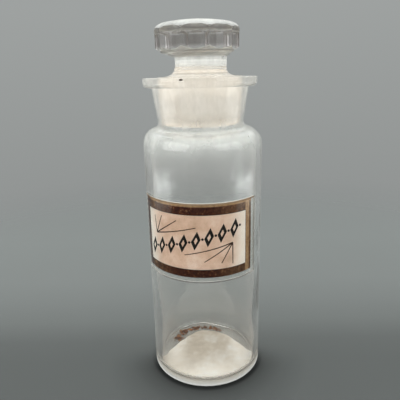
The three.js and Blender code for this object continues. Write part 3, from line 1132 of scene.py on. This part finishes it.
def lamps_pass(surface, tint):
    """The same shader, but lamps shine through it on what is behind."""
    tree = surface.id_data
    shadow = node(tree, "LightPath").outputs["Is Shadow Ray"]
    return mixed(shadow, surface, shader(tree, "Transparent", Color=(*tint, 1)))


def bare_glass(tree, tint, roughness):
    inputs = {"Base_Color": (*tint, 1), "IOR": GLASS_IOR, "Transmission_Weight": 1}
    return shader(tree, "Principled", Roughness=roughness, **inputs)


def glass(tree, dust, film_colours, front_dust=(), haze=0):
    """Old clear glass with a thin dusty film, which fine noise breaks up.

    On the stopper the same film also carries painted bands of light and shade. The front glow is a
    painted highlight that lies on the side towards the camera only. The haze is the
    sheen of the film where it is seen edge on."""
    body = bare_glass(tree, CLEAR_TINT, spread(texture(tree, *GLASS_NOISE), *GLASS_ROUGHNESS))
    film = shader(tree, "Diffuse", Color=by_height(tree, film_colours))
    share = times(by_height(tree, dust), spread(texture(tree, *STREAK_NOISE), *STREAK_SHARES))
    if haze:
        facing = node(tree, "LayerWeight", Blend=0.5).outputs["Facing"]
        share = plus(share, times(maths("POWER", facing, HAZE_POWER), haze))
    if front_dust:
        painted_front = spread(as_seen(tree)[1], 1, 0, *PAINTED_FRONT_FADE, smooth=True)
        share = plus(share, times(by_height(tree, front_dust), painted_front))
    return lamps_pass(mixed(share, body, film), LAMP_TINT)


def frosted(tree, tones_and_painted_light, grain, cover, passed):
    """Glass ground by hand, so it scatters what it passes and shows pale.

    Its colour goes by height, and there it is painted lighter and darker as light and shade. The
    cover is the share that scatters, and passed is what lamps shine through it."""
    body = bare_glass(tree, GROUND_TINT, GROUND_ROUGHNESS)
    rings = ramp(texture(tree, *GROUND_NOISE), GROUND_RING_TONES)
    colour = blended(1, by_height(tree, tones_and_painted_light), rings, "MULTIPLY")
    uneven = bumped(texture(tree, grain, 2), *GROUND_BUMP)
    frost = shader(tree, "Diffuse", Color=colour, Normal=uneven)
    scattered = mixed(GROUND_GLOW, frost, shader(tree, "Translucent", Color=colour))
    return lamps_pass(mixed(cover, body, scattered), (passed, passed, passed))


def dull(colour, grain, roughness, swing=ROUGHNESS_SWING, **inputs):
    """A dull shader of a colour. Its roughness falls a little as its noise rises."""
    inputs["Roughness"] = spread(grain, roughness + swing, roughness - swing)
    return shader(grain.id_data, "Principled", Base_Color=colour, Specular_IOR_Level=DULL_GLOSS, **inputs)


def solid(tree, colours, scale, roughness):
    """A dull finish whose colour and roughness are broken up by noise."""
    grain = texture(tree, scale, 6, 0.65)
    return dull(mottled(grain, colours), grain, roughness)


def cream_paint(tree):
    """Aged cream paint, mottled all over, and painted paler towards the label's two ends as light falling
    there.
    """
    grain = texture(tree, *PANEL_NOISE)
    painted_light_to_end = spread(size_of(label_angle(tree)), 0, 1, *PANEL_PAINTED_LIGHT_FADE, smooth=True)
    colour = blended(painted_light_to_end, mottled(grain, PANEL_MIDDLE), mottled(grain, PANEL_PAINTED_LIGHT_ENDS))
    return dull(colour, grain, PANEL_ROUGHNESS)


def powder_paint(tree):
    """Dry powder, darker in the middle and whiter against the front and side walls."""
    grain = texture(tree, *POWDER_NOISE)
    right, deep = as_seen(tree)
    to_front = spread(deep, 1, 0, *POWDER_FRONT_FADE, smooth=True)
    to_side = spread(size_of(right), 0, POWDER_SIDE_SHARE, *POWDER_SIDE_FADE, smooth=True)
    middle, front = mottled(grain, POWDER_MIDDLE), mottled(grain, POWDER_FRONT)
    colour = blended(greatest(to_front, to_side), middle, front)
    body = dull(colour, grain, POWDER_ROUGHNESS, Normal=bumped(grain, *POWDER_BUMP))
    return mixed(POWDER_GLOW, body, shader(tree, "Translucent", Color=colour))


def gilt(tree):
    """Worn gold leaf, dark brown where it has gone, with a gold line along the top.

    The right end is painted bright as a highlight, and the bands a little brighter towards both
    ends; the left end is painted dark as shade, with no top line there.
    """
    leaf = texture(tree, *LEAF_NOISE)
    angle = label_angle(tree)
    reach = half_angle(BORDER_HIGH, SHEET_OUTER)
    band = BORDER_BAND / BODY_RADIUS
    right_highlight_in = spread(angle, 0, 1, reach - band * 1.2, reach - band)
    right_highlight_out = spread(angle, 1, 0, reach - band * 0.45, reach - band * 0.3)
    outside_left_shade = spread(angle, 0, 1, band * 1.1 - reach, band * 1.5 - reach)
    top_line = spread(xyz(tree)[2], 0, 1, *TOP_LINE_FADE)
    end_highlight = spread(size_of(angle), 0, LEAF_END_HIGHLIGHT, *LEAF_END_HIGHLIGHT_FADE)
    # The share of bright leaf: the top line, and painted highlights at the right end and towards both ends;
    # the left end is painted dark as shade.
    gold = greatest(greatest(times(right_highlight_in, right_highlight_out), top_line), end_highlight)
    colour = blended(times(gold, outside_left_shade), ramp(leaf, WORN_LEAF), mottled(leaf, LEAF_GOLD_AND_HIGHLIGHT))
    return dull(colour, leaf, LEAF_ROUGHNESS, LEAF_SWING, Metallic=LEAF_METAL)


glass_outside = material(
    "clear_glass_outside", glass, OUTSIDE_DUST, OUTSIDE_TINTS, front_dust=HEEL_PAINTED_GLOW, haze=EDGE_HAZE
)
glass_inside = material("clear_glass_inside", glass, INSIDE_DUST, INSIDE_TINTS, haze=EDGE_HAZE)
glass_cover = material("cover_glass_clear", glass, COVER_DUST, COVER_TINTS)
glass_stopper = material("stopper_glass_clear", glass, STOPPER_DUST_AND_PAINTED_BANDS, STOPPER_BAND_TINTS)
glass_dome = material("stopper_glass_dome", glass, DOME_DUST, DOME_TINTS)
ground_plug = material("stopper_glass_ground", frosted, PLUG_TONES_AND_PAINTED_LIGHT, 2500, 0.85, 0.5)
ground_edge = material("cover_glass_edge", frosted, COVER_EDGE_PAINTED_LIGHT, 1500, 0.6, 0.8)
worn_gilt_and_highlight = material("worn_gilt_and_highlight", gilt)
cream = material("cream_panel_paint", cream_paint)
powder = material("dry_powder", powder_paint)
black_ink = material("black_ink", solid, BLACK_INK, 600, 0.45)
brown_ink = material("brown_ink", solid, BROWN_INK, 500, 0.5)
cement = material("dark_cement", solid, CEMENT, 300, 0.75)
crumb = material("brown_crumb", solid, CRUMB, 500, 0.85)
speck = material("dark_speck", solid, SPECK, 2500, 0.8)


def rides(piece, body, slot, *replaced):
    """Ties a piece to its body and hides the CAD nodes it stands for. The slot, its finish, is not used."""
    if replaced:
        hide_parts(*replaced)
    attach(piece, body)


rides(make_bottle(glass_outside, glass_inside), "vessel", "clear_glass", "bottle")
rides(make_stopper(glass_stopper, ground_plug, glass_dome), "stopper", "stopper_glass", "stopper")
rides(make_cover(glass_cover, ground_edge), "vessel", "cover_glass", "label_cover_glass")
rides(make_border(worn_gilt_and_highlight), "vessel", "gilt", "label_gilt_border")
rides(make_panel(cream), "vessel", "cream_paint", "label_panel")
rides(make_rays(brown_ink), "vessel", "cement")
rides(make_ornament(black_ink), "vessel", "cement")
rides(make_powder(powder), "vessel", "cream_paint")
rides(make_crumbs(crumb), "vessel", "cement")
rides(make_lip_crumb(speck), "vessel", "cement")

cement_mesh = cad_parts["label_cement"].data
cement_mesh.materials.clear()
cement_mesh.materials.append(cement)


# The stage: a pale floor that fades out into the studio's own light.
FLOOR_DROP = 0.1
FLOOR_RADIUS = 520
FLOOR_SOLID = 220
FLOOR_RINGS = (20, 50, 100, 180, 300, 400, FLOOR_RADIUS)
# Its tones by depth, painted darker towards the camera and round the bottle as shade, and how a painted
# shadow darkens them by distance from the middle, close to the foot.
FLOOR_TONES_AND_SHADE = (
    (-30, 0.12), (-8, 0.122), (11, 0.132), (33, 0.172), (59, 0.2), (90, 0.222), (176, 0.24), (317, 0.24)
)
# A painted shadow round the foot on the camera's side: its reach, its tones by distance from the middle, and
# the depths over which it fades.
PAINTED_SHADOW_REACH = 58
PAINTED_SHADOW_TONES = ((29.6, 0.2), (30.8, 0.16), (31.8, 0.32), (32.8, 0.5), (36, 0.62), (44, 0.82), (58, 1))
PAINTED_SHADOW_FADE = (-16 * MM, 8 * MM)

# The studio's light: its strengths, and between which heights or how far aside each one fades.
STUDIO_TINT = (0.955, 1, 0.985)
WORLD_LOW = 0.3
WORLD_HORIZON = 0.36
WORLD_TENT = 0.52
WORLD_SIDES = 2.2
WORLD_TOP = 0.75
HORIZON_FADE = (-0.25, 0.15)
TENT_FADE = (0.2, 0.42)
SIDES_FADE = (0.88, 0.97)
SIDES_START = (-0.36, -0.31)
SIDES_END = (-0.24, -0.2)
TOP_FADE = (0.82, 0.9)
LAMP_AIM_Z = 90
LAMP_ELEVATION = radians(24)
LAMP_DISTANCE = 850
LAMP_WIDTH = 800
LAMP_HEIGHT = 650


def floor_paint(tree):
    """The floor's grey, painted darker towards the camera as shade and with a painted shadow close to the
    foot, and fading out at its edge.
    """
    x, y, _ = xyz(tree)
    deep = as_seen(tree)[1]
    start, end = FLOOR_TONES_AND_SHADE[0][0], FLOOR_TONES_AND_SHADE[-1][0]
    stops = [
        ((depth - start) / (end - start), tuple(tone * part for part in STUDIO_TINT))
        for depth, tone in FLOOR_TONES_AND_SHADE
    ]
    paint = ramp(spread(deep, 0, 1, start * MM, end * MM), stops)
    away = maths("SQRT", plus(maths("POWER", x, 2), maths("POWER", y, 2)))
    painted_shadow_stops = [(distance / PAINTED_SHADOW_REACH, tone) for distance, tone in PAINTED_SHADOW_TONES]
    painted_shadow = ramp(times(away, 1 / (PAINTED_SHADOW_REACH * MM)), painted_shadow_stops)
    painted_front = spread(deep, 1, 0, *PAINTED_SHADOW_FADE, smooth=True)
    body = shader(tree, "Diffuse", Color=blended(painted_front, paint, painted_shadow, "MULTIPLY"))
    fade = spread(away, 0, 1, FLOOR_SOLID * MM, FLOOR_RADIUS * 0.95 * MM, smooth=True)
    return mixed(fade, body, shader(tree, "Transparent"))


def make_floor(finish):
    verts, rings = [], []
    add_ring(verts, rings, [(0, 0, -FLOOR_DROP * MM)])
    for radius in FLOOR_RINGS:
        add_ring(verts, rings, [at(radius, a, -FLOOR_DROP) for a in even_angles(FLOOR_STEPS)])
    new_mesh("floor", verts, turned(skin(rings)), [finish])


def background(strength):
    made = node(strength.id_data, "Background", Color=(*STUDIO_TINT, 1), Strength=strength)
    return made.outputs["Background"]


def studio_light():
    """The light of a soft tent: grey low down, bright above and at both sides.

    Seen directly, behind the bottle, it is the plain grey of the wall."""
    world = bpy.data.worlds.new("studio")
    world.use_nodes = True
    tree = world.node_tree
    tree.nodes.clear()
    z = xyz(tree, "Generated")[2]
    low = spread(z, WORLD_LOW, WORLD_HORIZON, *HORIZON_FADE)
    tent = spread(z, 0, WORLD_TENT, *TENT_FADE, smooth=True)
    overhead = spread(z, 0, WORLD_TOP, *TOP_FADE, smooth=True)
    right = size_of(as_seen(tree, "Generated")[0])
    level = maths("SQRT", plus(times(maths("POWER", z, 2), -1), 1.0001))
    beside = spread(maths("DIVIDE", right, level), 0, WORLD_SIDES, *SIDES_FADE, smooth=True)
    from_floor = spread(z, 0, 1, *SIDES_START, smooth=True)
    to_top = spread(z, 1, 0, *SIDES_END, smooth=True)
    beside = times(beside, times(from_floor, to_top))
    light = plus(plus(low, tent), plus(beside, overhead))
    seen = node(tree, "LightPath").outputs["Is Camera Ray"]
    node(tree, "OutputWorld", Surface=mixed(seen, background(light), background(low)))
    bpy.context.scene.world = world


def lamp(name, azimuth, watts):
    """A soft lamp that faces the bottle. Its azimuth runs from the camera's side to the right."""
    turn = CAMERA_TURN + radians(azimuth)
    flat = LAMP_DISTANCE * cos(LAMP_ELEVATION)
    height = LAMP_AIM_Z + LAMP_DISTANCE * sin(LAMP_ELEVATION)
    place = Vector(at(flat, turn, height))
    data = bpy.data.lights.new(name, "AREA")
    data.shape = "RECTANGLE"
    data.size = LAMP_WIDTH * MM
    data.size_y = LAMP_HEIGHT * MM
    data.energy = watts
    made = in_scene(name, data)
    made.location = place
    aim = Vector((0, 0, LAMP_AIM_Z * MM)) - place
    made.rotation_euler = aim.to_track_quat("-Z", "Y").to_euler()
    made.visible_camera = False


def make_camera():
    data = bpy.data.cameras.new("photo_camera")
    data.lens = CAMERA_LENS
    data.sensor_width = SENSOR_WIDTH
    data.clip_start = NEAREST_SEEN
    data.clip_end = FURTHEST_SEEN
    made = in_scene("photo_camera", data)
    turns = ((CAMERA_TURN, "Z"), (-CAMERA_YAW, "Z"), (pi / 2 + CAMERA_PITCH, "X"), (CAMERA_ROLL, "Z"))
    turn, yaw, pitch, roll = (Matrix.Rotation(angle, 4, axis) for angle, axis in turns)
    stand = Matrix.Translation((0, -CAMERA_DISTANCE * MM, CAMERA_HEIGHT * MM))
    made.matrix_world = turn @ stand @ yaw @ pitch @ roll
    bpy.context.scene.camera = made


make_floor(material("floor_paint", floor_paint))
studio_light()
lamp("lamp_front_left", -55, 2.85)
lamp("lamp_front_right", 55, 2.35)
make_camera()

scene = bpy.context.scene
scene.view_settings.view_transform = "Standard"
scene.cycles.max_bounces = 24
scene.cycles.transmission_bounces = 24
scene.cycles.transparent_max_bounces = 32
